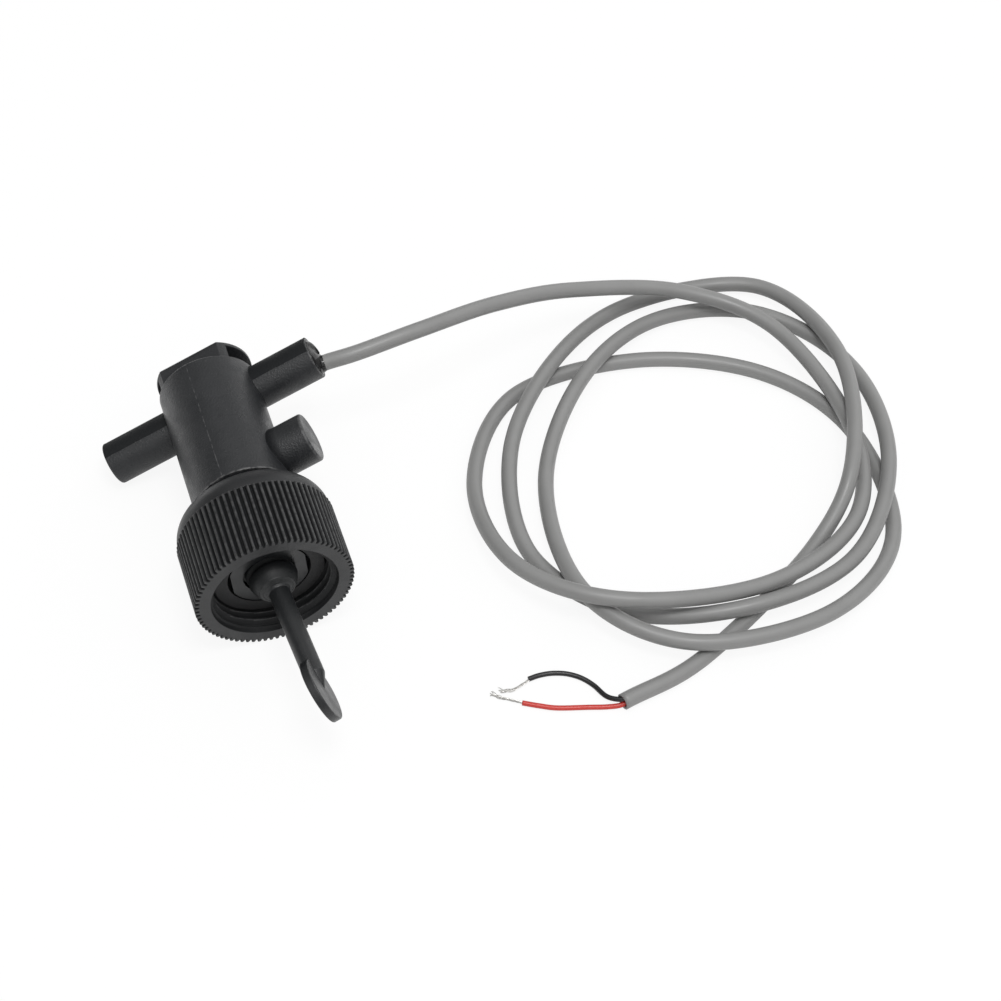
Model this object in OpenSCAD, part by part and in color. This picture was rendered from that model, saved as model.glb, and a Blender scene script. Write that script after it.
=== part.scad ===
// Baffle flow sensor: a tilting disc paddle on a pivot, a magnet on its upper arm,
// a reed switch in the cross tube, and a loose union nut that clamps it to a pipe.
// It lies on its side on the nut and on the closed end of the cross tube.
// Millimetres. The sensor is drawn upright first: Z up the barrel from the plane of the
// nut's mouth, X along the cross tube towards the cable, the front at minus Y.

/* [Union nut] */
// Outer diameter over the grip ribs
nut_d = 33.4; // [31:0.2:38]
// Height of the ribbed band
grip_h = 15.6; // [13:0.1:17]
// Overall height of the nut
nut_h = 21.7; // [20.5:0.1:23]
// Number of grip ribs
grip_ribs = 80; // [48:2:110]
// Depth of the grooves between the ribs
grip_depth = 0.65; // [0.5:0.05:0.8]
// Height that the ribs stand proud of the smooth shoulder
rib_proud = 0.4; // [0.2:0.05:0.45]
// Diameter of the bore at the thread's crests
thread_d = 24.12; // [23.8:0.02:25]
// Diameter of the plain entry in front of the thread
entry_d = 26.4; // [25.4:0.1:28]
// Depth of the plain entry
entry_depth = 1.5; // [0.8:0.1:2.5]
// Thickness of the inner lip that bears on the flange
lip_t = 3.5; // [2.5:0.1:5]
// Gap all round between the lip and the barrel
lip_gap = 0.3; // [0.2:0.05:0.5]
// Gap between the lip and the flange it pulls on
lip_seat_gap = 0.2; // [0.1:0.05:0.5]
// Width of the open ring between the barrel and the top of the nut
nut_top_gap = 1; // [0.8:0.1:1.2]

/* [Seat and carrier] */
// Depth of the sealing face inside the nut's mouth
seat_depth = 4.7; // [3:0.1:6]
// Thickness of the sealing washer
washer_t = 2; // [1:0.1:3]
// Thickness of the carrier's flange
flange_t = 2.6; // [2:0.1:3.5]
// Gap all round between the flange and the thread
flange_gap = 0.46; // [0.2:0.02:0.8]
// Width of the washer's ring
washer_w = 2.85; // [2.4:0.05:3.2]
// Gap all round between the spigot and the washer
washer_gap = 0.3; // [0.05:0.05:0.5]
// Height of the carrier's sleeve inside the barrel
sleeve_h = 6.7; // [6:0.1:9]
// Gap all round between a seated piece and its seat
seat_gap = 0.05; // [0.02:0.01:0.1]
// Diameter of the pivot pin
pin_d = 2; // [1.5:0.1:2.4]
// Height of the pivot pin over the sealing face
pin_rise = 5.7; // [5:0.1:6.5]

/* [Barrel] */
// Outer diameter of the barrel
barrel_d = 21.4; // [20.8:0.1:21.8]
// Height of the barrel's rim over the nut's mouth
rim_z = 56.15; // [54:0.05:60]
// Diameter of the chamber that the arm swings in
chamber_d = 16.8; // [16:0.1:17]
// Thickness of the chamber's roof under the cross tube
roof_t = 1.4; // [1:0.1:2]

/* [Bridged top] */
// Height of the bridge over the rim
bridge_h = 4.05; // [3.5:0.05:7]
// Thickness of the bridge's top plate
bridge_plate_t = 0.9; // [0.8:0.1:1.8]
// Distance from the axis to the bridge's flat front
bridge_front = 7.9; // [7:0.1:9]
// Thickness of the bridge's legs
bridge_leg_t = 1.3; // [1:0.1:3]

/* [Cross tube] */
// Outer diameter of the cross tube
tube_d = 9.56; // [8.6:0.02:10.4]
// Wall of the cross tube
tube_wall = 1.1; // [0.9:0.05:1.4]
// Distance of the tube's axis behind the barrel's axis
tube_back = 2.1; // [1.6:0.1:3]
// Height of the tube's top line over the barrel's rim
tube_rise = 0.55; // [0.2:0.05:1]
// Length of the closed half, from the barrel's axis
tube_closed_l = 26.05; // [24:0.05:30]
// Length of the open half, from the barrel's axis
tube_open_l = 24.15; // [23.5:0.05:30]
// Length of the right joint's sleeve that the potting holds
potting_cover = 0.85; // [0.5:0.05:2]
// How far the potting stands proud of the tube's end
potting_bulge = 1.3; // [0.5:0.1:2]

/* [Stub] */
// Outer diameter of the blind stub
stub_d = 10.92; // [10:0.02:12]
// Height of the stub's axis over the nut's mouth
stub_z = 31.9; // [31:0.1:34]
// Distance of the stub's axis behind the barrel's axis
stub_back = 0.8; // [0:0.1:2]
// Length of the stub from the barrel's axis
stub_l = 17.9; // [17:0.1:22]
// Radius of the stub's rounded outer edge
stub_edge_r = 0.6; // [0.3:0.1:1]
// Diameter of the return magnet
return_magnet_d = 6; // [4:0.1:7]
// Length of the return magnet
return_magnet_l = 4.5; // [3:0.1:5]
// Distance from the chamber's wall to the return magnet
magnet_set_back = 2.2; // [1.6:0.1:2.6]

/* [Paddle arm] */
// Angle that the arm hangs from the axis at rest
arm_rest = 3.8; // [2:0.1:4]
// Travel of the arm from rest to its far stop
arm_travel = 10; // [6:0.5:10]
// Gap between the arm and its stops
stop_gap = 0.2; // [0.15:0.05:0.4]
// Diameter of the ball that the hub's round face is part of
ball_d = 15.3; // [15:0.1:15.6]
// Gap between the ball face and its socket
ball_gap = 0.15; // [0.1:0.05:0.3]
// Width of the hub along the pin
hub_w = 10.3; // [9.6:0.1:10.6]
// Width of the hub between its two stops
shank_w = 11.6; // [11.2:0.1:11.8]
// Thickness of the hub's shank along the pin
shank_t = 7; // [6:0.1:7.2]
// Diameter of the hub's bosses round the pin
boss_d = 5.2; // [4:0.1:6]
// Gap all round between the pin and the arm
pin_gap = 0.05; // [0.02:0.01:0.1]
// Diameter of the cuff at the root of the stem
cuff_d = 7.6; // [6.6:0.1:8]
// Length of the cuff
cuff_l = 2.85; // [1:0.05:3]
// Diameter of the stem
stem_d = 4.4; // [3.6:0.1:5]
// Distance from the nut's mouth to the middle of the disc
disc_reach = 26.2; // [25:0.1:40]
// Diameter of the disc
disc_d = 13.4; // [12:0.1:20]
// Thickness of the disc
disc_t = 1.75; // [1.2:0.05:2.2]
// Distance from the nut's mouth to where the stem narrows to its point
stem_straight_l = 22.3; // [18:0.1:23]
// Diameter of the arm's neck above the hub
neck_d = 6; // [4:0.1:6.4]
// Height of the magnet pocket's floor over the nut's mouth
pocket_z = 29; // [26:0.5:31]
// Diameter of the arm magnet
arm_magnet_d = 5.6; // [4:0.1:6]
// Length of the arm magnet
arm_magnet_l = 9; // [6:0.5:10]
// Wall of the arm's magnet pocket
pocket_wall = 1.1; // [0.8:0.1:1.2]
// Thickness of the magnet cap's lid
cap_t = 1.4; // [1:0.1:2]

/* [Reed switch] */
// Length of the reed's glass
glass_l = 14; // [10:0.5:16]
// Diameter of the reed's glass
glass_d = 2.2; // [1.8:0.1:2.4]
// Thickness of the glass wall
glass_wall = 0.3; // [0.2:0.05:0.4]
// Diameter of the reed's leads
lead_d = 0.6; // [0.4:0.05:0.7]
// Length of each lead outside the glass
lead_l = 5; // [4:0.5:6]
// Overlap of the two reed blades
blade_overlap = 1.6; // [1:0.1:3]
// Gap between the two reed blades
blade_gap = 0.12; // [0.08:0.01:0.2]
// Thickness of a reed blade
blade_t = 0.2; // [0.15:0.01:0.3]
// Width of a reed blade
blade_w = 1; // [0.6:0.05:1.1]
// Diameter of the sleeves over the joints
sleeve_d = 2.1; // [1.9:0.1:2.4]
// Length of the sleeves over the joints
sleeve_l = 5; // [4:0.5:6]
// Distance between the reed's line and the returning core
core_offset = 2.2; // [2:0.05:2.3]

/* [Cable] */
// Diameter of the cable's jacket
cable_d = 3.5; // [3:0.1:3.6]
// Diameter of a core
core_d = 1.1; // [1:0.05:1.4]
// Diameter of a twist of bare strands
strands_d = 0.6; // [0.5:0.05:1]
// Facets round the jacket
cable_sides = 8; // [8:1:12]
// Facets round a core
core_sides = 8; // [6:1:10]

/* [Hidden] */
$fn = 96;
eps = 0.02;

// Heights up the sensor, from the plane of the nut's mouth
flange_z = seat_depth + washer_t;
flange_top = flange_z + flange_t;
lip_z = flange_top + lip_seat_gap;
pin_z = seat_depth + pin_rise;
sleeve_top = flange_top + sleeve_h;
tube_z = rim_z + tube_rise - tube_d / 2;
tube_bore = tube_d - 2 * tube_wall;
chamber_top = tube_z - tube_d / 2 - roof_t;
top_z = rim_z + bridge_h;
hub_end = pin_z - ball_d / 2;
cuff_end = hub_end - cuff_l;

// Plan sizes
nut_r = nut_d / 2;
barrel_r = barrel_d / 2;
flange_r = thread_d / 2 - flange_gap;
washer_hole_r = flange_r - washer_w;
spigot_r = washer_hole_r - washer_gap;
socket_d = chamber_d + 0.4;
sleeve_r = socket_d / 2 - seat_gap;
nut_top_r = barrel_r + nut_top_gap;
swing_out = arm_travel - arm_rest;

// The hub's face ends this far under the pin, and its shank stands this far over it
face_drop = 4.2;
shank_rise = sleeve_top - pin_z;

// The shank meets the carrier's opening at the stops: its top end at one, its foot at the other
shank_half = shank_w / 2;
face_r = shank_half + 0.1;
far_x = shank_half * cos(swing_out) + shank_rise * sin(swing_out) + stop_gap;
foot_x = face_r * cos(swing_out) + (face_drop + 0.7) * sin(swing_out) + stop_gap;
rest_x = shank_half * cos(arm_rest) + shank_rise * sin(arm_rest) + stop_gap;

// The sensor leans until the closed end of the cross tube meets the table
tube_low = tube_d / 2 + tube_back;
lean = asin(nut_r / norm([tube_closed_l, tube_low])) - atan(tube_low / tube_closed_l);

// Place of the return magnet along the stub
magnet_x = chamber_d / 2 + magnet_set_back;

// Places along the cross tube
glass_x = -2;
glass_left = glass_x - glass_l / 2;
glass_right = glass_x + glass_l / 2;
sleeve_cover = 2;
sleeve_right_x = glass_right + lead_l - sleeve_cover;
sleeve_left_x = glass_left - lead_l + sleeve_cover - sleeve_l;
potting_x = sleeve_right_x + sleeve_l - potting_cover;
potting_l = tube_open_l - potting_x;
core_gap = 0.1;
core_start_right = glass_right + lead_l + core_gap;
core_start_left = glass_left - lead_l - core_gap;
core_end_x = tube_open_l - 3.2;
bend_x = sleeve_left_x - 0.2;

// The cable's route: X and Y as it lies, then the height of its middle over the table
cable_route = [
    [20.4, 49.4, 22.5], [25.1, 49, 24.2], [32.5, 48.4, 25.5], [47, 50, 26], [66, 56, 22],
    [86.5, 61, 15], [112.5, 59, 8.5], [130.5, 44, 5.8], [135.5, 13, 5.4],
    [126.3, -11.2, 5.4], [101.5, -22, 5.6], [69, -19.5, 9.6], [51, -2.5, 7.5],
    [51, 24, 2.6], [67.5, 45.5, 1.8], [97.5, 47.5, 1.8], [124, 35.5, 1.8],
    [137, 13.5, 1.8], [133.5, -16, 1.8], [111, -32.5, 4.8], [80, -31, 5.4],
    [63, -12.5, 5.8], [66, 19.5, 2.2], [82, 42, 6.3], [105.5, 57, 2.8], [130, 53, 1.8],
    [144.5, 31.5, 1.8], [140, 2, 5.4], [122.4, -20.4, 5], [95.5, -26.5, 5.6],
    [70.5, -17.5, 1.8], [56.5, 3, 1.8], [61.5, 30, 4], [80.5, 51.5, 5.6],
    [104.5, 64.5, 1.8], [133, 60, 2.8], [141, 33, 6.8], [130.5, 1.5, 9.6],
    [115.5, -14, 2.2], [83, -33, 1.8], [62.5, -38.5, 1.8]
];
red_route = [
    [63.7, -38.5, 1.3], [61.8, -38.5, 0.8], [59.1, -37.9, 0.6], [55.6, -36.9, 0.6],
    [49.6, -35.2, 0.6], [46.2, -33.6, 0.6], [43.1, -31.9, 0.6]
];
black_route = [
    [63.7, -38.1, 2.4], [61.9, -37.7, 1.9], [59.9, -35.8, 1.2], [58.5, -32.2, 0.6],
    [56.6, -29.7, 0.6], [54.1, -27.9, 0.6], [51.3, -26.9, 0.6], [48.6, -26.6, 0.6],
    [46.2, -26.8, 0.6]
];
red_strands_route = [
    [43.6, -32.2, 0.6], [41.1, -30.4, 0.45], [39.1, -29, 0.35], [37.5, -27.6, 0.35]
];
black_strands_route = [
    [46.7, -26.8, 0.6], [44.1, -27.8, 0.5], [41.8, -28.3, 0.6], [38.8, -27.8, 0.9]
];

// Stands the sensor's own frame on the table, with the thread's start at the origin
module lying() {
    translate([0, -entry_depth, 0]) rotate([-90, -lean, 0]) children();
}

// Tilts the arm about the pivot pin to where it hangs at rest
module hanging() {
    translate([0, 0, pin_z]) rotate([0, -arm_rest, 0]) translate([0, 0, -pin_z]) children();
}

// A cylinder along X from x1 to x2
module bar_x(d, x1, x2) {
    translate([x1, 0, 0]) rotate([0, 90, 0]) cylinder(d = d, h = x2 - x1);
}

// A cylinder along Y, centred
module bar_y(d, l) {
    rotate([90, 0, 0]) cylinder(d = d, h = l, center = true);
}

// Moves its children to the axis of the cross tube
module on_tube() {
    translate([0, tube_back, tube_z]) children();
}

// Outline of the rib band: a flat groove floor and a rounded crest for each rib
module rib_outline() {
    pitch = 360 / grip_ribs;
    crest_drop = 0.14;
    polygon([
        for (i = [0 : grip_ribs - 1], p = [
            [-0.12, grip_depth], [0.12, grip_depth], [0.26, crest_drop], [0.5, 0], [0.74, crest_drop]
        ])
        (nut_r - p[1]) * [cos((i + p[0]) * pitch), sin((i + p[0]) * pitch)]
    ]);
}

// Half outline of the nut's smooth body: a core inside the ribs and the round shoulder over them
module nut_outline() {
    body_r = nut_r - rib_proud;
    ring_r = nut_top_r + 0.4;
    arc_z = grip_h + 0.6;
    arc_r = (pow(body_r - ring_r, 2) + pow(nut_h - arc_z, 2)) / (2 * (body_r - ring_r));
    square([nut_r - grip_depth - 0.3, grip_h + 0.1]);
    translate([0, grip_h]) square([body_r, arc_z - grip_h]);
    translate([0, arc_z]) intersection() {
        square([body_r, nut_h - arc_z]);
        union() {
            square([body_r - arc_r, nut_h]);
            translate([body_r - arc_r, 0]) circle(r = arc_r);
        }
    }
}

// Half outline of what is cut out of the nut: entry, thread bore, lip and top ring
module nut_hollow() {
    lip_r = barrel_r + lip_gap;
    translate([0, -1]) square([entry_d / 2, entry_depth + 1]);
    square([thread_d / 2, lip_z]);
    square([lip_r, nut_h]);
    translate([0, lip_z + lip_t]) square([nut_top_r, nut_h]);
}

module union_nut() {
    color("#4a4d50") lying() difference() {
        union() {
            linear_extrude(grip_h) rib_outline();
            rotate_extrude() nut_outline();
        }
        rotate_extrude() nut_hollow();
    }
}

// The stub's outside, with a rounded outer edge
module stub_solid() {
    translate([0, stub_back, stub_z]) rotate([0, 90, 0]) rotate_extrude() union() {
        square([stub_d / 2, stub_l - stub_edge_r]);
        square([stub_d / 2 - stub_edge_r, stub_l]);
        translate([stub_d / 2 - stub_edge_r, stub_l - stub_edge_r]) circle(r = stub_edge_r);
    }
}

// The bridge over the rim: two legs along X under a thin plate, flat at the front
module bridge() {
    inner = bridge_front - bridge_leg_t;
    difference() {
        translate([0, 0, rim_z - eps]) cylinder(r = barrel_r, h = bridge_h + eps);
        translate([-barrel_d, -barrel_d - bridge_front, rim_z]) cube([2 * barrel_d, barrel_d, 2 * bridge_h]);
        translate([-barrel_d, -inner, rim_z])
            cube([2 * barrel_d, 2 * inner, bridge_h - bridge_plate_t]);
    }
}

module housing() {
    color("#3f4245") lying() difference() {
        union() {
            translate([0, 0, flange_top]) cylinder(r = barrel_r, h = rim_z - flange_top);
            bridge();
            on_tube() bar_x(tube_d, -tube_closed_l, tube_open_l);
            stub_solid();
        }
        translate([0, 0, flange_top - 1]) cylinder(d = socket_d, h = sleeve_h + 1 + seat_gap);
        translate([0, 0, flange_top]) cylinder(d = chamber_d, h = chamber_top - flange_top);
        on_tube() bar_x(tube_bore, -tube_closed_l + tube_wall, tube_open_l + 1);
        translate([0, stub_back, stub_z])
            bar_x(return_magnet_d + 2 * seat_gap, 0, magnet_x + return_magnet_l);
    }
}

// The return magnet is pressed to the end of its pocket from the chamber's side
module return_magnet() {
    color("#6b6d70") lying() translate([0, stub_back, stub_z])
        bar_x(return_magnet_d, magnet_x, magnet_x + return_magnet_l);
}

// Half outline of the hub's round face: a ball about the pin, cut off beside and under the pin
module face_outline() {
    intersection() {
        translate([0, pin_z]) circle(r = ball_d / 2);
        translate([0, pin_z - ball_d]) square([face_r, ball_d - face_drop]);
    }
}

// Half outline of the socket for it: a ball below, straight walls above
module socket_outline() {
    r = ball_d / 2 + ball_gap;
    intersection() {
        translate([0, pin_z - ball_d]) square([r - 0.2, ball_d + shank_rise + 1]);
        union() {
            translate([0, pin_z]) circle(r = r);
            translate([0, pin_z]) square([r, shank_rise + 1]);
        }
    }
}

// The opening for the hub, flat beside the pin's ears and at the two stops
module hub_opening() {
    low_x = max(rest_x, foot_x);
    intersection() {
        rotate_extrude() socket_outline();
        translate([-low_x, -hub_w / 2 - stop_gap, 0])
            cube([low_x + far_x, hub_w + 2 * stop_gap, sleeve_top + 2]);
    }
}

module pivot_carrier() {
    color("#3a3d40") lying() difference() {
        union() {
            translate([0, 0, seat_depth]) cylinder(r = spigot_r, h = washer_t + eps);
            translate([0, 0, flange_z]) cylinder(r = flange_r, h = flange_t);
            translate([0, 0, flange_top - eps]) cylinder(r = sleeve_r, h = sleeve_h + eps);
        }
        hub_opening();
        translate([0, 0, pin_z]) bar_y(pin_d, 2 * barrel_d);
    }
}

module sealing_washer() {
    color("#2c2e30") lying() translate([0, 0, seat_depth]) difference() {
        cylinder(r = flange_r, h = washer_t);
        translate([0, 0, -1]) cylinder(r = washer_hole_r, h = washer_t + 2);
    }
}

module pivot_pin() {
    color("#b9bcc0") lying() translate([0, 0, pin_z]) bar_y(pin_d, 2 * sleeve_r - 0.3);
}

// The disc, seen edge on from the front, with the stem ending as a point on both its faces
module disc_and_stem() {
    point_l = disc_reach - stem_straight_l;
    slope = (stem_d - disc_t) / 2 / point_l;
    inside_l = disc_t / 4 / slope;
    translate([0, 0, -stem_straight_l]) cylinder(d = stem_d, h = stem_straight_l + cuff_end + eps);
    translate([0, 0, -disc_reach - inside_l])
        cylinder(r1 = disc_t / 4, r2 = stem_d / 2, h = point_l + inside_l + eps);
    translate([-disc_t / 2, 0, -disc_reach]) rotate([0, 90, 0]) cylinder(d = disc_d, h = disc_t);
}

// Half outline of the arm's round parts: cuff, neck and magnet pocket
module arm_outline() {
    pocket_r = arm_magnet_d / 2 + seat_gap + pocket_wall;
    translate([0, cuff_end]) square([cuff_d / 2, pin_z - face_drop - 0.5 - cuff_end]);
    translate([0, sleeve_top - 1]) square([neck_d / 2, pocket_z - sleeve_top]);
    translate([0, pocket_z - pocket_wall]) square([pocket_r, arm_magnet_l + pocket_wall]);
}

// The hub: the ball face, a shank up to the stops, and bosses round the pin
module hub() {
    intersection() {
        rotate_extrude() face_outline();
        translate([-ball_d, -hub_w / 2, 0]) cube([2 * ball_d, hub_w, pin_z]);
    }
    intersection() {
        translate([0, 0, pin_z - face_drop - 0.5])
            cylinder(r = shank_half, h = face_drop + 0.5 + shank_rise);
        translate([-ball_d, -shank_t / 2, 0]) cube([2 * ball_d, shank_t, 2 * pin_z]);
    }
    translate([0, 0, pin_z]) bar_y(boss_d, hub_w);
}

module paddle_arm() {
    color("#3a3d40") lying() hanging() difference() {
        union() {
            rotate_extrude() arm_outline();
            hub();
            disc_and_stem();
        }
        translate([0, 0, pocket_z]) cylinder(d = arm_magnet_d + 2 * seat_gap, h = arm_magnet_l + 1);
        translate([0, 0, pin_z]) bar_y(pin_d + 2 * pin_gap, 2 * barrel_d);
    }
}

module arm_magnet() {
    color("#8d9094") lying() hanging()
        translate([0, 0, pocket_z]) cylinder(d = arm_magnet_d, h = arm_magnet_l - seat_gap);
}

module magnet_cap() {
    color("#55585c") lying() hanging() translate([0, 0, pocket_z + arm_magnet_l])
        cylinder(d = arm_magnet_d + 2 * (seat_gap + pocket_wall), h = cap_t);
}

module reed_glass() {
    color("#9fc7b4") lying() on_tube() difference() {
        bar_x(glass_d, glass_left, glass_right);
        bar_x(glass_d - 2 * glass_wall, glass_left + 2, glass_right - 2);
        bar_x(lead_d, glass_left - 1, glass_right + 1);
    }
}

// A reed blade: its round lead through the glass, then the flat blade beside the middle.
// side is 1 for the right one and -1 for the left one.
module reed_blade(side) {
    outer = side > 0 ? glass_right + lead_l : glass_left - lead_l;
    root = side > 0 ? glass_right - 2.5 : glass_left + 2.5;
    tip = glass_x - side * blade_overlap / 2;
    color("#c9ccd0") lying() on_tube() {
        bar_x(lead_d, min(outer, root), max(outer, root));
        translate([min(root, tip), -blade_w / 2, side > 0 ? blade_gap / 2 : -blade_gap / 2 - blade_t])
            cube([abs(root - tip), blade_w, blade_t]);
    }
}

module reed_blade_left() {
    reed_blade(-1);
}

module reed_blade_right() {
    reed_blade(1);
}

// A sleeve over a joint, open for the lead on one side and for the core on the other
module joint_sleeve(x, lead_from, lead_to, core_from, core_to) {
    color("#1c1d1f") lying() on_tube() difference() {
        bar_x(sleeve_d, x, x + sleeve_l);
        bar_x(lead_d, lead_from, lead_to);
        bar_x(core_d, core_from, core_to);
    }
}

module joint_sleeve_left() {
    joint_sleeve(
        sleeve_left_x, core_start_left, sleeve_left_x + sleeve_l + 1, sleeve_left_x - 1, core_start_left
    );
}

module joint_sleeve_right() {
    joint_sleeve(
        sleeve_right_x, sleeve_right_x - 1, core_start_right, core_start_right, sleeve_right_x + sleeve_l + 1
    );
}

module inner_core_red() {
    color("#c8322d") lying() on_tube() bar_x(core_d, core_start_right, core_end_x);
}

// The black core passes the reed and bends back to the left joint
module black_core_shape() {
    bar_x(core_d, bend_x, core_start_left);
    translate([0, 0, -core_offset]) bar_x(core_d, bend_x, core_end_x);
    translate([bend_x, 0, -core_offset / 2]) rotate([90, 90, 0])
        rotate_extrude(angle = -180) translate([core_offset / 2, 0]) circle(d = core_d);
}

module inner_core_black() {
    color("#2b2c2e") lying() on_tube() black_core_shape();
}

// Half outline of the potting, along its own axis: a plug with a domed end
module potting_outline() {
    r = tube_bore / 2;
    end = potting_l + potting_bulge;
    dome_r = (r * r + potting_bulge * potting_bulge) / (2 * potting_bulge);
    intersection() {
        square([r, end]);
        union() {
            square([2 * r, potting_l - potting_bulge]);
            translate([0, end - dome_r]) circle(r = dome_r);
        }
    }
}

module potting_plug() {
    color("#141516") lying() on_tube() difference() {
        translate([potting_x, 0, 0]) rotate([0, 90, 0]) rotate_extrude() potting_outline();
        bar_x(core_d, potting_x - 1, core_end_x);
        translate([0, 0, -core_offset]) bar_x(core_d, potting_x - 1, core_end_x);
        bar_x(sleeve_d, potting_x - 1, sleeve_right_x + sleeve_l);
    }
}

// A point on the smooth curve through four points, t from 0 to 1 between the middle two
function between(a, b, c, d, t) =
    0.5 * (2 * b + (c - a) * t + (2 * a - 5 * b + 4 * c - d) * t * t
        + (3 * b - a - 3 * c + d) * t * t * t);

// The route with one more point ahead of its start and one past its end
function led_out(p) = concat([2 * p[0] - p[1]], p, [2 * p[len(p) - 1] - p[len(p) - 2]]);

// Stands a route on the table, no part of a cord of radius r under it
function laid(p, r) = [p[0], p[1], max(p[2], r) - nut_r];

// Middles of the rings: two for each stretch of the route, and one at its end
function ring_middles(route, r) =
    let (p = led_out(route), n = len(route) - 1)
    concat(
        [for (i = [1 : n], t = [0, 0.5]) laid(between(p[i - 1], p[i], p[i + 1], p[i + 2], t), r)],
        [laid(route[n], r)]
    );

function unit(v) = v / norm(v);

// A tube of radius r along a route: rings square to the curve, joined by triangles
module cord(route, r, sides) {
    m = ring_middles(route, r);
    n = len(m);
    along = [for (i = [0 : n - 1]) unit(m[min(i + 1, n - 1)] - m[max(i - 1, 0)])];
    points = [
        for (i = [0 : n - 1])
            let (across = unit(cross(along[i], [0, 0, 1])), up = cross(across, along[i]))
                for (k = [0 : sides - 1])
                    m[i] + r * (cos(360 * k / sides) * across + sin(360 * k / sides) * up)
    ];
    polyhedron(points, concat(
        [[for (k = [0 : sides - 1]) k]],
        [for (i = [0 : n - 2], k = [0 : sides - 1])
            [i * sides + k, (i + 1) * sides + k, (i + 1) * sides + (k + 1) % sides]],
        [for (i = [0 : n - 2], k = [0 : sides - 1])
            [i * sides + k, (i + 1) * sides + (k + 1) % sides, i * sides + (k + 1) % sides]],
        [[for (k = [sides - 1 : -1 : 0]) (n - 1) * sides + k]]
    ));
}

module cable_jacket() {
    color("#8a8d8c") cord(cable_route, cable_d / 2, cable_sides);
}

module core_red() {
    color("#c8322d") cord(red_route, core_d / 2, core_sides);
}

module core_black() {
    color("#2b2c2e") cord(black_route, core_d / 2, core_sides);
}

module strands_red() {
    color("#c0c2c4") cord(red_strands_route, strands_d / 2, core_sides);
}

module strands_black() {
    color("#c0c2c4") cord(black_strands_route, strands_d / 2, core_sides);
}

housing();
pivot_carrier();
sealing_washer();
pivot_pin();
return_magnet();
union_nut();
paddle_arm();
arm_magnet();
magnet_cap();
reed_glass();
reed_blade_left();
reed_blade_right();
joint_sleeve_left();
joint_sleeve_right();
inner_core_red();
inner_core_black();
potting_plug();
cable_jacket();
core_red();
core_black();
strands_red();
strands_black();
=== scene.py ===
import math

import bpy
import numpy as np
from mathutils import Matrix, Vector


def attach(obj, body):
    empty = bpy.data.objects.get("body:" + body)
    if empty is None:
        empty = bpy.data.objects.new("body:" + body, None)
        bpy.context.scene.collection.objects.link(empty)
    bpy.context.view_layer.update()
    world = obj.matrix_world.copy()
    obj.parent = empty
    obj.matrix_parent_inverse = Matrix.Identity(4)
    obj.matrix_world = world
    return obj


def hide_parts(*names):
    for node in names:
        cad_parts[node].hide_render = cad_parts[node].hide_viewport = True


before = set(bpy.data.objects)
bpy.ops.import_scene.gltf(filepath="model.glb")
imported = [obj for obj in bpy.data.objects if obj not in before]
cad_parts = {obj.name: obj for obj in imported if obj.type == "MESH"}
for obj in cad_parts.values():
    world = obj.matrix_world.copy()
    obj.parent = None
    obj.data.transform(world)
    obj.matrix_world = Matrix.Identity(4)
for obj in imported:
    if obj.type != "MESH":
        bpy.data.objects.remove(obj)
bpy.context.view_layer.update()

# A paddle flow sensor: a black moulded body with a reed switch in its cross tube, a loose
# ribbed union nut, a disc on a swinging arm, and a long grey two-core lead.
# The sensor's own frame is in millimetres: Z up the barrel from the plane of the nut's mouth,
# X along the cross tube towards the lead. lying() brings it into the row frame, in metres.

MM = 0.001

# Sizes shared with the solids, in millimetres and degrees
LEAN = 23.52
THREAD_START = 1.5
PIN_Z = 10.4
ARM_REST = 3.8
NUT_R = 16.7
FLOOR_Z = -NUT_R

# The photograph's camera, in the row frame
CAMERA_EYE_MM = (-51.647, -260.524, 371.383)
CAMERA_RIGHT = (0.94780, -0.31714, 0.03314)
CAMERA_UP = (0.23208, 0.75737, 0.61035)
FOCAL_PX = 2241.0
PHOTO_PX = 1001
SENSOR_MM = 36.0

# The lead: X, Y and height of its middle over the table, in millimetres
CABLE_ROUTE = [
    (20.4, 49.2, 22.2), (25.1, 48.8, 23.8), (32.5, 48.3, 25.3), (47, 50, 26.2), (66, 56, 22),
    (86.5, 61, 15), (112.5, 59, 8.5), (130.5, 44, 5.8), (135.5, 13, 5.4),
    (126.3, -11.2, 5.4), (101.5, -22, 5.6), (69, -19.5, 9.6), (51, -2.5, 7.5),
    (51, 24, 2.6), (67.5, 45.5, 1.8), (97.5, 47.5, 1.8), (124, 35.5, 1.8),
    (137, 13.5, 1.8), (133.5, -16, 1.8), (111, -32.5, 4.8), (80, -31, 5.4),
    (63, -12.5, 5.8), (66, 19.5, 2.2), (82, 42, 6.3), (105.5, 57, 2.8), (130, 53, 1.8),
    (144.5, 31.5, 1.8), (140, 2, 5.4), (122.4, -20.4, 5), (95.5, -26.5, 5.6),
    (70.5, -17.5, 1.8), (56.5, 3, 1.8), (61.5, 30, 4), (80.5, 51.5, 5.6),
    (104.5, 64.5, 1.8), (133, 60, 2.8), (141, 33, 6.8), (130.5, 1.5, 9.6),
    (115.5, -14, 2.2), (83, -33, 1.8), (62.5, -38.5, 1.8),
]
CABLE_D = 3.5
CUT_WALL, CUT_DEPTH = 0.42, 1.1
RED_ROUTE = [
    (63.7, -38.5, 1.3), (61.8, -38.5, 0.8), (59.1, -37.9, 0.6), (55.6, -36.9, 0.6),
    (49.6, -35.2, 0.6), (46.2, -33.6, 0.6), (43.1, -31.9, 0.6),
]
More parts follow.
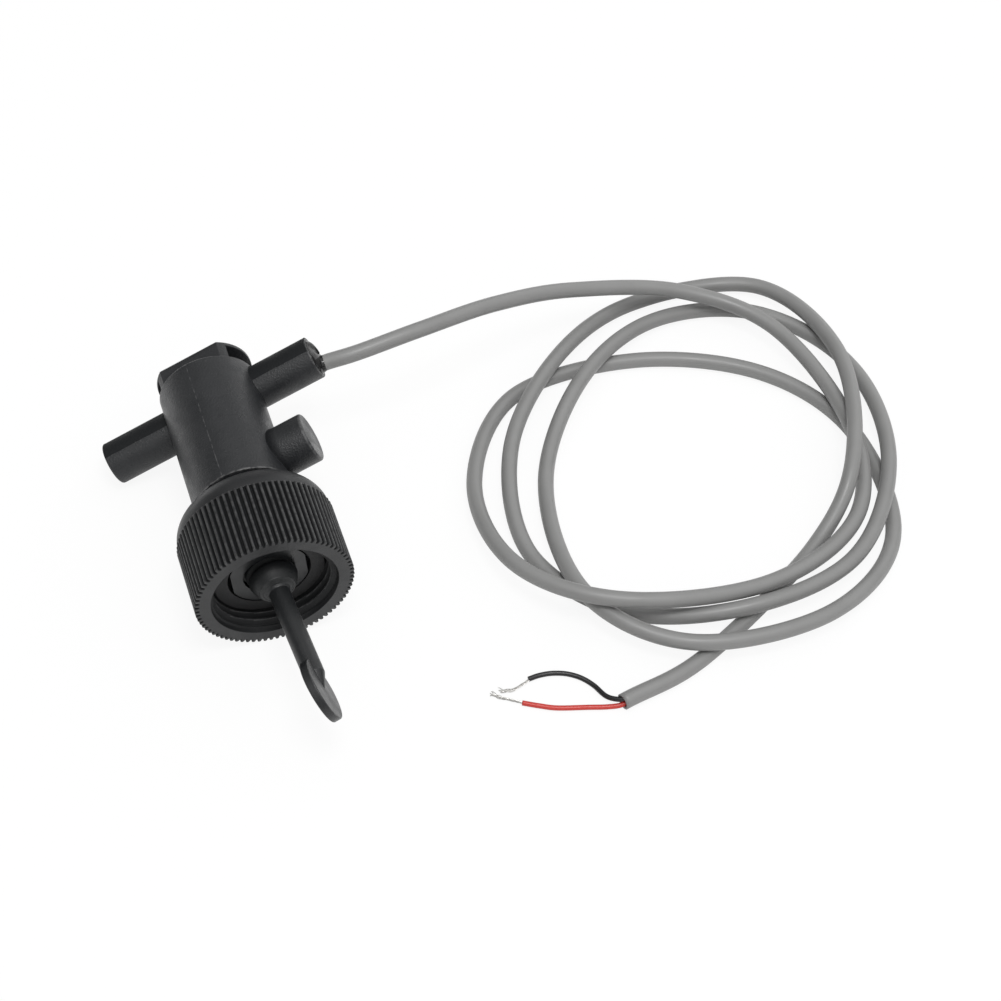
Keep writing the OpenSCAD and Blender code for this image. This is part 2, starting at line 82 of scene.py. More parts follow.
BLACK_ROUTE = [
    (63.7, -38.1, 2.4), (61.9, -37.7, 1.9), (59.9, -35.8, 1.2), (58.5, -32.2, 0.6),
    (56.6, -29.7, 0.6), (54.1, -27.9, 0.6), (51.3, -26.9, 0.6), (48.6, -26.6, 0.6),
    (46.2, -26.8, 0.6),
]
RED_WIRES_ROUTE = [
    (43.6, -32.2, 0.6), (41.1, -30.4, 0.45), (39.1, -29, 0.35), (37.5, -27.6, 0.35),
]
BLACK_WIRES_ROUTE = [
    (46.7, -26.8, 0.6), (44.1, -27.8, 0.5), (41.8, -28.3, 0.6), (38.8, -27.8, 0.9),
]
CORE_D = 1.1
WIRES, WIRE_R, WIRE_SIDES = 7, 0.075, 8
WIRES_LOWEST, WIRES_LAY, WIRES_SPREAD = 0.35, 5.5, 0.17

# Union nut
RIBS, RIB_DEPTH, RIB_PROUD, RIB_ROUND = 80, 0.78, 0.4, 0.14
THREAD_PITCH, THREAD_DEPTH, THREAD_CREST_R, THREAD_TOP = 1.814, 1.16, 12.06, 9.5
MOUTH_R, LIP_R, LIP_TOP, COLLAR_R, SHOULDER_R = 13.35, 11.0, 13, 11.7, 12.1
NUT_TOP, GRIP_TOP = 21.7, 15.6

# Housing
BARREL_R, RIM_Z, CHAMBER_R, CHAMBER_TOP = 10.7, 56.15, 8.4, 45.74
FLANGE_TOP, SOCKET_R, SOCKET_TOP = 9.3, 8.6, 16.05
GROOVE_TOP, GROOVE_LOW, GROOVE_R = 24.15, 21.9, 9.6
TUBE_R, TUBE_BORE_R, TUBE_BACK, TUBE_Z = 4.78, 3.68, 2.1, 51.92
TUBE_LEFT, TUBE_RIGHT, POTTING_START = -26.05, 24.15, 12.15
STUB_R, STUB_BACK, STUB_Z, STUB_END = 5.46, 0.8, 31.9, 17.9
BRIDGE_TOP, BRIDGE_PLATE, BRIDGE_FRONT, BRIDGE_LEG = 60.2, 0.9, 7.9, 1.6
BRIDGE_R, BRIDGE_X = 10.5, 0.2
ROOT_R = 0.15

# Carrier and arm
BALL_R, BALL_GAP = 7.65, 0.15
SEAT_Z, SPIGOT_R, SPIGOT_FLAT, FLATS_TURN, FLATS_TOP = 4.7, 8.45, 7.92, 19, 6.6
CARRIER_R, CARRIER_FACE, SLEEVE_R, SLEEVE_TOP = 11.6, 6.7, 8.55, 16
OPENING_R, OPENING_X, OPENING_Y = 7.6, 6.58, 5.35
FACE_TOP_R, FACE_LOW_R, DOME_R, DOME_Z, CUFF_R, CUFF_END = 5.28, 4.5, 5.25, 4.0, 3.8, -0.1
STEM_R, STEM_STRAIGHT = 2.2, 22.3
DISC_REACH, DISC_R, DISC_T = 26.2, 6.7, 1.75
SHANK_R, SHANK_HALF, SHANK_LOW, SHANK_TOP = 5.8, 3.5, 6.1, 16.0

# The angle round an upright axis that faces the front
FRONT = 1.5 * math.pi


# Places and curves

def tilted(points, degrees):
    """Cosine and sine of a turn, and the X, Y and Z of points."""
    turn = math.radians(degrees)
    p = np.asarray(points, float)
    return math.cos(turn), math.sin(turn), p[..., 0], p[..., 1], p[..., 2]


def lying(points):
    """Sensor frame in millimetres to row frame in metres: a turn by the lean and onto its side."""
    c, s, x, y, z = tilted(points, LEAN)
    return np.stack([c * x + s * y, z - THREAD_START, s * x - c * y], axis=-1) * MM


def hanging(points):
    """Tilts points of the arm about the pivot pin to where the arm hangs at rest."""
    c, s, x, y, z = tilted(points, ARM_REST)
    z = z - PIN_Z
    return np.stack([c * x - s * z, y, s * x + c * z + PIN_Z], axis=-1)


def full_turn(columns):
    """Evenly spaced angles of a full turn."""
    return np.linspace(0, 2 * math.pi, columns, endpoint=False)


def turned(r, z, angle):
    """Points at these radii and heights, carried round the Z axis through the angles."""
    return np.stack([r * np.cos(angle), r * np.sin(angle), z + 0 * angle], -1)


def turned_along_x(x, r, angle, back, height):
    """Points at these radii round a line along X at the given back and height."""
    return np.stack([x + 0 * angle, back + r * np.cos(angle), height + r * np.sin(angle)], -1)


def smooth_route(route, steps, lowest):
    """Catmull-Rom curve through the route, in row-frame millimetres, never below lowest."""
    p = np.asarray(route, float)
    q = np.vstack([2 * p[0] - p[1], p, 2 * p[-1] - p[-2]])
    t = np.linspace(0, 1, steps, endpoint=False)[None, :, None]
    a, b, c, d = (q[i:len(q) - 3 + i, None, :] for i in range(4))
    stretches = 0.5 * (
        2 * b + (c - a) * t + (2 * a - 5 * b + 4 * c - d) * t**2
        + (3 * b - a - 3 * c + d) * t**3
    )
    curve = np.vstack([stretches.reshape(-1, 3), p[-1:]])
    curve[:, 2] = np.maximum(curve[:, 2], lowest) + FLOOR_Z
    return curve


def distances(path):
    """How far along a path each of its points lies."""
    return np.r_[0, np.cumsum(np.linalg.norm(np.diff(path, axis=0), axis=1))]


def directions(path):
    """Unit directions along a path: forward, across it and up from it."""
    forward = np.gradient(path, axis=0)
    forward /= np.linalg.norm(forward, axis=1, keepdims=True)
    across = np.cross(forward, (0.0, 0.0, 1.0))
    across /= np.linalg.norm(across, axis=1, keepdims=True)
    return forward, across, np.cross(across, forward)


def rings_round(path, radius, sides):
    """Rings square to a path, of one radius or of one for each point."""
    _, across, up = directions(path)
    angle = full_turn(sides)[None, :, None]
    r = np.broadcast_to(radius, (len(path),))[:, None, None]
    return path[:, None] + r * (np.cos(angle) * across[:, None] + np.sin(angle) * up[:, None])


def rounded_outline(corners, closed=False, steps=5, support=0.05):
    """Outline through (x, y, radius) corners. Each corner is turned by an arc, with a support
    point beside each end of the arc, so that flats stay flat under smooth shading."""
    place = np.array([corner[:2] for corner in corners], float)
    made = []
    for i, (_, _, radius) in enumerate(corners):
        here = place[i]
        if radius == 0 or (not closed and i in (0, len(corners) - 1)):
            made.append(here[None])
            continue
        before, after = place[i - 1] - here, place[(i + 1) % len(corners)] - here
        before_l, after_l = np.linalg.norm(before), np.linalg.norm(after)
        before, after = before / before_l, after / after_l
        half = 0.5 * math.acos(np.clip(before @ after, -1, 1))
        reach = min(radius / math.tan(half), 0.45 * before_l, 0.45 * after_l)
        r = reach * math.tan(half)
        inward = (before + after) / np.linalg.norm(before + after)
        middle = here + inward * r / math.sin(half)
        first, last = here + before * reach - middle, here + after * reach - middle
        start = math.atan2(first[1], first[0])
        turn = (math.atan2(last[1], last[0]) - start + math.pi) % (2 * math.pi) - math.pi
        t = start + turn * np.linspace(0, 1, steps)
        gap = min(support, 0.3 * reach)
        made.append(here[None] + before * (reach + gap))
        made.append(middle + r * np.stack([np.cos(t), np.sin(t)], -1))
        made.append(here[None] + after * (reach + gap))
    return np.vstack(made)


def dashes(at, seed, share=0.6):
    """A broken line down a column of values: 1 where a smooth random wave is high, else 0."""
    random = np.random.default_rng(seed)
    phases = random.uniform(0, 2 * math.pi, 6)
    rates = random.uniform(0.8, 4.5, 6)
    wave = np.sin(at * rates + phases).mean(1, keepdims=True)
    return (wave > np.quantile(wave, 1 - share)).astype(float)


def away_from(angle, seam):
    """How far each angle lies from the parting line, either way round."""
    return np.abs((angle - seam + math.pi) % (2 * math.pi) - math.pi)


def seam_angles(columns, seam):
    """Even angles of a turn, with a few close ones on each side of the parting line."""
    near = np.radians([-2.2, -1.1, -0.55, 0, 0.55, 1.1, 2.2]) + seam
    even = full_turn(columns)
    return np.sort(np.r_[even[away_from(even, seam) > math.radians(2.4)], near % (2 * math.pi)])


def seam_share(angle, seam):
    """1 on the parting line, 0 from about half a degree beside it."""
    return np.clip(1 - away_from(angle, seam) / math.radians(0.55), 0, 1)


# Meshes

def grid_faces(rows, columns, close_rows=False):
    """Quads of a grid of points numbered row by row, joined round along each row, and from the
    last row back to the first where the rows close."""
    i = np.arange(rows if close_rows else rows - 1)[:, None]
    j = np.arange(columns)[None, :]
    i2, j2 = (i + 1) % rows, (j + 1) % columns
    quads = np.stack([i * columns + j, i * columns + j2, i2 * columns + j2, i2 * columns + j], -1)
    return quads.reshape(-1, 4)


def signed_volume(points, faces):
    """Six times the volume under the faces, each cut into a fan of triangles."""
    a = points[faces[:, 0]]
    return sum(
        np.einsum("ij,ij->i", a, np.cross(points[faces[:, k]], points[faces[:, k + 1]])).sum()
        for k in range(1, faces.shape[1] - 1)
    )


def in_scene(thing):
    """Puts an object in the scene."""
    bpy.context.scene.collection.objects.link(thing)
    return thing


def make_mesh(name, points, *groups, **shares):
    """A smooth mesh object at the origin from row-frame points in metres and groups of faces, quads
    or triangles. The faces are turned outward by the sign of the volume. Each share is a value from
    0 to 1 a point: wear for pale rubbed places and painted highlights, dull for painted shade,
    which is darker and also rougher and less shiny."""
    points = np.asarray(points, float).reshape(-1, 3)
    middle = points - points.mean(0)
    inside_out = sum(signed_volume(middle, f) for f in groups) < 0
    corners = np.concatenate([(f[:, ::-1] if inside_out else f).ravel() for f in groups])
    sizes = np.concatenate([np.full(len(f), f.shape[1]) for f in groups])
    mesh = bpy.data.meshes.new(name)
    mesh.vertices.add(len(points))
    mesh.vertices.foreach_set("co", points.astype(np.float32).ravel())
    mesh.loops.add(len(corners))
    mesh.loops.foreach_set("vertex_index", corners.astype(np.int32))
    mesh.polygons.add(len(sizes))
    mesh.polygons.foreach_set("loop_start", (np.cumsum(sizes) - sizes).astype(np.int32))
    mesh.polygons.foreach_set("loop_total", sizes.astype(np.int32))
    for share, given in shares.items():
        full = np.zeros(len(points), np.float32)
        full[: np.size(given)] = np.ravel(given)
        mesh.attributes.new(share, "FLOAT", "POINT").data.foreach_set("value", full)
    mesh.update(calc_edges=True)
    mesh.validate()
    mesh.shade_smooth()
    return in_scene(bpy.data.objects.new(name, mesh))


def close_ends(rings):
    """Adds a middle point at each end of a tube of rings, and the triangles that close it."""
    rows, columns = rings.shape[:2]
    ends = np.array([rings[0].mean(0), rings[-1].mean(0)])
    j = np.arange(columns)
    j2 = (j + 1) % columns
    last = (rows - 1) * columns
    first_cap = np.stack([np.full(columns, rows * columns), j2, j], -1)
    last_cap = np.stack([np.full(columns, rows * columns + 1), last + j, last + j2], -1)
    return np.vstack([rings.reshape(-1, 3), ends]), np.vstack([first_cap, last_cap])


def stand_in(piece, role):
    """Gives a piece its role: a material, a body to ride on and the node it replaces, which is
    hidden.
    """
    material, slot_name, body, node = role
    paint(piece, material)
    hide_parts(node)
    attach(piece, body)
    return piece


def add_piece(name, points, role, closed=False, **shares):
    """A piece from rings of points that already lie in the row frame: joined ring to ring, and
    either closed back to its first ring or capped at both ends."""
    rows, columns = points.shape[:2]
    faces = [grid_faces(rows, columns, closed)]
    if not closed:
        points, caps = close_ends(points)
        faces.append(caps)
    full = {share: np.broadcast_to(given, (rows, columns)) for share, given in shares.items()}
    return stand_in(make_mesh(name, points, *faces, **full), role)


def tube(name, path, radius, sides, role, hollow=None):
    """A round tube of rings along a path in millimetres. A hollow of (wall, depth) opens its far
    end, as a smaller ring and the same ring further in."""
    rings = rings_round(path, radius, sides)
    if hollow:
        wall, depth = hollow
        edge = path[-1] + (rings[-1] - path[-1]) * (1 - wall / radius)
        further = edge - directions(path)[0][-1] * depth
        rings = np.concatenate([rings, edge[None], further[None]])
    return add_piece(name, rings * MM, role)


# Shader groups and materials

def add_node(tree, kind, inputs=(), **properties):
    """A shader node with its properties. Each input, by name or number, is given a plain value
    or is linked to the output of another node."""
    made = tree.nodes.new(kind)
    made.location = (220 * len(tree.nodes), 0)
    for key, value in properties.items():
        setattr(made, key, value)
    for key, source in dict(inputs).items():
        if isinstance(source, bpy.types.NodeSocket):
            tree.links.new(source, made.inputs[key])
        else:
            made.inputs[key].default_value = source
    return made


def maths(tree, operation, *sources):
    """The result of an operation on values or outputs."""
    made = add_node(tree, "ShaderNodeMath", enumerate(sources), operation=operation)
    return made.outputs[0]


def carried(tree, value, from_low, from_high, to_low=0.0, to_high=1.0, **properties):
    """A value carried from one range to another, and kept inside it."""
    ranges = enumerate((value, from_low, from_high, to_low, to_high))
    return add_node(tree, "ShaderNodeMapRange", ranges, **properties).outputs[0]


def blended(tree, share, under, over, blend_type="MIX"):
    """A colour with another one laid over it by share."""
    made = add_node(
        tree, "ShaderNodeMix", {0: share, 6: under, 7: over}, data_type="RGBA",
        blend_type=blend_type,
    )
    return made.outputs[2]


def noise(tree, at, scale, **inputs):
    """The value of a noise texture."""
    made = add_node(tree, "ShaderNodeTexNoise", {"Vector": at, "Scale": scale, **inputs})
    return made.outputs["Fac"]


def empty_tree(owner):
    """The shader tree of a new material or world, without the nodes that it starts with."""
    owner.use_nodes = True
    owner.node_tree.nodes.clear()
    return owner.node_tree


def new_group(name, values, outputs):
    """An empty shader group with a vector input and named values, and outputs that are values.
    It gives the tree and its inputs by name."""
    tree = bpy.data.node_groups.new(name, "ShaderNodeTree")
    tree.interface.new_socket("Vector", in_out="INPUT", socket_type="NodeSocketVector")
    for title, value in values.items():
        socket = tree.interface.new_socket(title, in_out="INPUT", socket_type="NodeSocketFloat")
        socket.default_value = value
    for title in outputs:
        tree.interface.new_socket(title, in_out="OUTPUT", socket_type="NodeSocketFloat")
    return tree, add_node(tree, "NodeGroupInput").outputs


def moulded_grain_group():
    """Fine pebbled skin of a moulding, the slow mottling of its gloss, and patches in which rubbed
    places and painted highlights show."""
    tree, given = new_group(
        "moulded_grain", {"Grain per mm": 4.0, "Mottle per mm": 0.25},
        ("Height", "Mottle", "Wear"),
    )
    at = given["Vector"]
    grain_scale = maths(tree, "MULTIPLY", given["Grain per mm"], 1 / MM)
    mottle_scale = maths(tree, "MULTIPLY", given["Mottle per mm"], 1 / MM)
    patches = noise(tree, at, 900.0, Detail=2.0)
    add_node(tree, "NodeGroupOutput", {
        "Height": noise(tree, at, grain_scale, Detail=3.0, Roughness=0.6),
        "Mottle": noise(tree, at, mottle_scale, Detail=4.0, Roughness=0.55, Distortion=0.4),
        "Wear": carried(tree, patches, 0.35, 0.6),
    })
    return tree


def scuffs_group():
    """Short pale scuffs: stretched noise in two directions, cut to its thin peaks."""
    tree, given = new_group("scuffs", {"Amount": 0.5}, ("Mask",))
    low = maths(tree, "MULTIPLY_ADD", given["Amount"], -0.2, 0.8)
    masks = []
    for turn in ((0.3, 0.2, 0.5), (1.2, 0.7, 1.9)):
        place = add_node(tree, "ShaderNodeMapping", {
            "Vector": given["Vector"], "Rotation": turn, "Scale": (180, 2400, 900),
        })
        streaks = noise(tree, place.outputs[0], 1.0, Detail=2.0)
        masks.append(carried(tree, streaks, low, 0.86))
    add_node(tree, "NodeGroupOutput", {"Mask": maths(tree, "MAXIMUM", *masks)})
    return tree


def specks_group():
    """Sparse dust specks: the near cores of scattered cells, most of them left out."""
    tree, given = new_group("dust_specks", {"Cells per mm": 0.8, "Speck size": 0.06}, ("Mask",))
    scale = maths(tree, "MULTIPLY", given["Cells per mm"], 1 / MM)
    cells = add_node(tree, "ShaderNodeTexVoronoi", {"Vector": given["Vector"], "Scale": scale})
    near = maths(tree, "LESS_THAN", cells.outputs["Distance"], given["Speck size"])
    pick = add_node(tree, "ShaderNodeSeparateColor", {0: cells.outputs["Color"]})
    few = maths(tree, "GREATER_THAN", pick.outputs[0], 0.78)
    add_node(tree, "NodeGroupOutput", {"Mask": maths(tree, "MULTIPLY", near, few)})
    return tree


GRAIN = moulded_grain_group()
SCUFFS = scuffs_group()
SPECKS = specks_group()

# A plastic's shine, and what full painted shade does to it, to the roughness and to the colour,
# where the tint is painted shade
SHINE, DULL_SHINE, DULL_ROUGHNESS, PAINTED_SHADE_TINT = 0.5, -0.3, 0.25, (0.55, 0.58, 0.58, 1)


def grey(value):
    """A plain grey."""
    return (value, value, value)


def finish_material(
    name, colour, dark, roughness, spread=0.08, grain=4.0, mottle=0.25, bump=0.02,
    scuff=0.0, scuff_colour=grey(0.3), speck=0.0, wear_and_highlight_colour=grey(0.2), **inputs
):
    """A moulded or drawn surface: mottled colour and gloss, fine grain, scuffs and dust. A point's
    wear brings in a pale colour for rubbed places and painted highlights. Its dull is painted shade
    that makes it darker, and also rougher and less shiny."""
    made = bpy.data.materials.new(name)
    tree = empty_tree(made)
    at = add_node(tree, "ShaderNodeTexCoord").outputs["Object"]
    texture = add_node(tree, "ShaderNodeGroup", {
        "Vector": at, "Grain per mm": grain, "Mottle per mm": mottle,
    }, node_tree=GRAIN).outputs
    shade = blended(tree, texture["Mottle"], (*dark, 1), (*colour, 1))
    for amount, group, key in ((scuff, SCUFFS, "Amount"), (speck, SPECKS, "Speck size")):
        if amount:
            marks = add_node(tree, "ShaderNodeGroup", {"Vector": at, key: amount}, node_tree=group)
            shade = blended(tree, marks.outputs["Mask"], shade, (*scuff_colour, 1))
    wear, dull = (
        add_node(tree, "ShaderNodeAttribute", attribute_name=share).outputs["Fac"]
        for share in ("wear", "dull")
    )
    # Pale rubbed places and painted highlights, where the wear share meets a patch
    rubbed = maths(tree, "MULTIPLY", wear, texture["Wear"])
    shade = blended(tree, rubbed, shade, (*wear_and_highlight_colour, 1))
    gloss = carried(tree, texture["Mottle"], 0.3, 0.7, roughness - spread, roughness + spread)
    relief = add_node(tree, "ShaderNodeBump", {
        "Strength": 1.0, "Distance": bump * MM, "Height": texture["Height"],
    })
    # Painted shade: the dull share multiplies the colour by a darker tint and raises the roughness
    skin = add_node(tree, "ShaderNodeBsdfPrincipled", {
        "Base Color": blended(tree, dull, shade, PAINTED_SHADE_TINT, "MULTIPLY"),
        "Roughness": maths(tree, "MULTIPLY_ADD", dull, DULL_ROUGHNESS, gloss),
        "Specular IOR Level": maths(tree, "MULTIPLY_ADD", dull, DULL_SHINE, SHINE),
        "Normal": relief.outputs[0],
        **inputs,
    })
    add_node(tree, "ShaderNodeOutputMaterial", {"Surface": skin.outputs[0]})
    return made


def paint(thing, material):
    """Gives an object this material alone."""
    thing.data.materials.clear()
    thing.data.materials.append(material)
    return thing


HOUSING_NYLON = finish_material(
    "housing_nylon", (0.0185, 0.0195, 0.0215), (0.0145, 0.0155, 0.0170), 0.38, spread=0.12,
    grain=2.6, bump=0.12, scuff=0.16, scuff_colour=grey(0.10), speck=0.05, wear_and_highlight_colour=grey(0.16),
)
NUT_NYLON = finish_material(
    "nut_nylon", (0.0135, 0.0140, 0.0150), (0.0100, 0.0105, 0.0115), 0.42, bump=0.05,
    scuff_colour=grey(0.10), speck=0.04, wear_and_highlight_colour=grey(0.10),
)
INSERT_NYLON = finish_material(
    "insert_nylon", (0.0150, 0.0160, 0.0170), (0.0110, 0.0120, 0.0130), 0.34, grain=3.0,
    bump=0.03, scuff=0.15, scuff_colour=grey(0.06),
)
ARM_NYLON = finish_material(
    "arm_nylon", (0.0145, 0.0155, 0.0165), (0.0105, 0.0115, 0.0125), 0.38, grain=3.2, bump=0.05,
    scuff=0.3, scuff_colour=grey(0.06), speck=0.04, wear_and_highlight_colour=grey(0.10),
)
WASHER_RUBBER = finish_material(
    "washer_rubber", (0.013, 0.013, 0.014), (0.009, 0.009, 0.0095), 0.6, grain=7.0, bump=0.04,
)
POTTING_RESIN = finish_material(
    "potting_resin", (0.004, 0.004, 0.005), grey(0.003), 0.10, spread=0.04, grain=0.8, bump=0.08,
)
JACKET_PVC = finish_material(
    "jacket_pvc", (0.245, 0.245, 0.242), (0.200, 0.200, 0.197), 0.40, grain=3.0, mottle=0.12,
    scuff_colour=(0.12, 0.12, 0.11), speck=0.05,
)
RED_PVC = finish_material("red_pvc", (0.56, 0.045, 0.034), (0.46, 0.032, 0.023), 0.32, bump=0.01)
BLACK_PVC = finish_material(
    "black_pvc", (0.012, 0.012, 0.013), (0.008, 0.008, 0.009), 0.32, bump=0.01,
)
TINNED_COPPER = finish_material(
    "tinned_copper", (0.72, 0.71, 0.69), (0.5, 0.49, 0.47), 0.32, grain=6.0, bump=0.01,
    Metallic=1.0,
)
PIN_STEEL = finish_material("pin_steel", grey(0.6), grey(0.5), 0.3, Metallic=1.0)
MAGNET_FERRITE = finish_material(
    "magnet_ferrite", (0.09, 0.09, 0.095), (0.06, 0.06, 0.062), 0.55, bump=0.05,
)
SLEEVE_TUBING = finish_material("sleeve_tubing", grey(0.02), grey(0.013), 0.5)
REED_GLASS = finish_material(
    "reed_glass", (0.75, 0.92, 0.84), (0.7, 0.88, 0.8), 0.06, spread=0.02, bump=0.0, IOR=1.5,
    **{"Transmission Weight": 1.0},
)

for node_material, node_names in (
    (HOUSING_NYLON, ["housing"]),
    (NUT_NYLON, ["union_nut"]),
    (INSERT_NYLON, ["pivot_carrier"]),
    (ARM_NYLON, ["paddle_arm", "magnet_cap"]),
    (WASHER_RUBBER, ["sealing_washer"]),
    (POTTING_RESIN, ["potting_plug"]),
    (JACKET_PVC, ["cable_jacket"]),
    (RED_PVC, ["core_red", "inner_core_red"]),
    (BLACK_PVC, ["core_black", "inner_core_black"]),
    (TINNED_COPPER, ["strands_red", "strands_black", "reed_blade_left", "reed_blade_right"]),
    (PIN_STEEL, ["pivot_pin"]),
    (MAGNET_FERRITE, ["return_magnet", "arm_magnet"]),
    (SLEEVE_TUBING, ["joint_sleeve_left", "joint_sleeve_right"]),
    (REED_GLASS, ["reed_glass"]),
):
    for node_name in node_names:
        paint(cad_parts[node_name], node_material)

# Roles of the pieces: material, the record's slot, body to ride on, node replaced
HOUSING = (HOUSING_NYLON, "housing_plastic", "sensor", "housing")
NUT = (NUT_NYLON, "nut_plastic", "nut", "union_nut")
CARRIER = (INSERT_NYLON, "carrier_plastic", "sensor", "pivot_carrier")
ARM = (ARM_NYLON, "arm_plastic", "paddle", "paddle_arm")
POTTING = (POTTING_RESIN, "potting", "sensor", "potting_plug")
JACKET = (JACKET_PVC, "jacket_grey", "sensor", "cable_jacket")
RED_CORE = (RED_PVC, "red_plastic", "sensor", "core_red")
BLACK_CORE = (BLACK_PVC, "black_plastic", "sensor", "core_black")
RED_WIRES = (TINNED_COPPER, "tinned_metal", "sensor", "strands_red")
BLACK_WIRES = (TINNED_COPPER, "tinned_metal", "sensor", "strands_black")


# Camera

def make_camera():
    """The photograph's view: its place, its turn from right and up, and its focal length."""
    right, up = Vector(CAMERA_RIGHT).normalized(), Vector(CAMERA_UP)
    up = (up - right * up.dot(right)).normalized()
    turn = Matrix((right, up, right.cross(up))).transposed()
    data = bpy.data.cameras.new("photo_camera")
    data.sensor_width = SENSOR_MM
    data.lens = FOCAL_PX / PHOTO_PX * SENSOR_MM
    data.clip_start, data.clip_end = 0.01, 10
    made = in_scene(bpy.data.objects.new("photo_camera", data))
    made.matrix_world = Matrix.Translation(Vector(CAMERA_EYE_MM) * MM) @ turn.to_4x4()
    bpy.context.scene.camera = made


make_camera()


# The lead: the jacket is one round tube from inside the potting to its cut end, and each core's
# insulation is one from inside the jacket to where it is stripped

def make_core(name, route, role):
    """A core's insulation as a round tube."""
    return tube(name, smooth_route(route, 12, CORE_D / 2), CORE_D / 2, 16, role)


def make_wires(name, route, role, seed):
    """Fine wires twisted round the bundle's line, opening out and ending unevenly at the tip. The
    first one follows the line itself."""
    line = smooth_route(route, 20, WIRES_LOWEST)
    _, across, up = directions(line)
    random = np.random.default_rng(seed)
    t = np.linspace(0, 1, len(line))
    turns = t * distances(line)[-1] / WIRES_LAY
    points, quads, caps, start = [], [], [], 0
    for k in range(WIRES):
        spread = WIRES_SPREAD * (1 + 2.2 * t**2 * random.uniform(0.0, 1.8)) if k else 0.0
        wobble = 1 + 0.08 * np.sin(7 * t + random.uniform(0, 6))
        turn = 2 * math.pi * (k / (WIRES - 1) + turns)[:, None]
        middle = line + (spread * wobble)[:, None] * (np.cos(turn) * across + np.sin(turn) * up)
        middle = middle[: len(line) - int(random.integers(0, 7))]
        middle[:, 2] = np.maximum(middle[:, 2], FLOOR_Z + WIRE_R)
        wire, ends = close_ends(rings_round(middle, WIRE_R, WIRE_SIDES))
        points.append(wire)
        quads.append(grid_faces(len(middle), WIRE_SIDES) + start)
        caps.append(ends + start)
        start += len(wire)
    made = make_mesh(name, np.vstack(points) * MM, np.vstack(quads), np.vstack(caps))
    return stand_in(made, role)


cable_path = smooth_route(CABLE_ROUTE, 22, CABLE_D / 2)
cable = tube("lead_jacket", cable_path, CABLE_D / 2, 24, JACKET, hollow=(CUT_WALL, CUT_DEPTH))
cable_ends = [
    make_core("red_core_end", RED_ROUTE, RED_CORE),
    make_core("black_core_end", BLACK_ROUTE, BLACK_CORE),
    make_wires("red_core_wires", RED_WIRES_ROUTE, RED_WIRES, 11),
    make_wires("black_core_wires", BLACK_WIRES_ROUTE, BLACK_WIRES, 12),
]


# The union nut

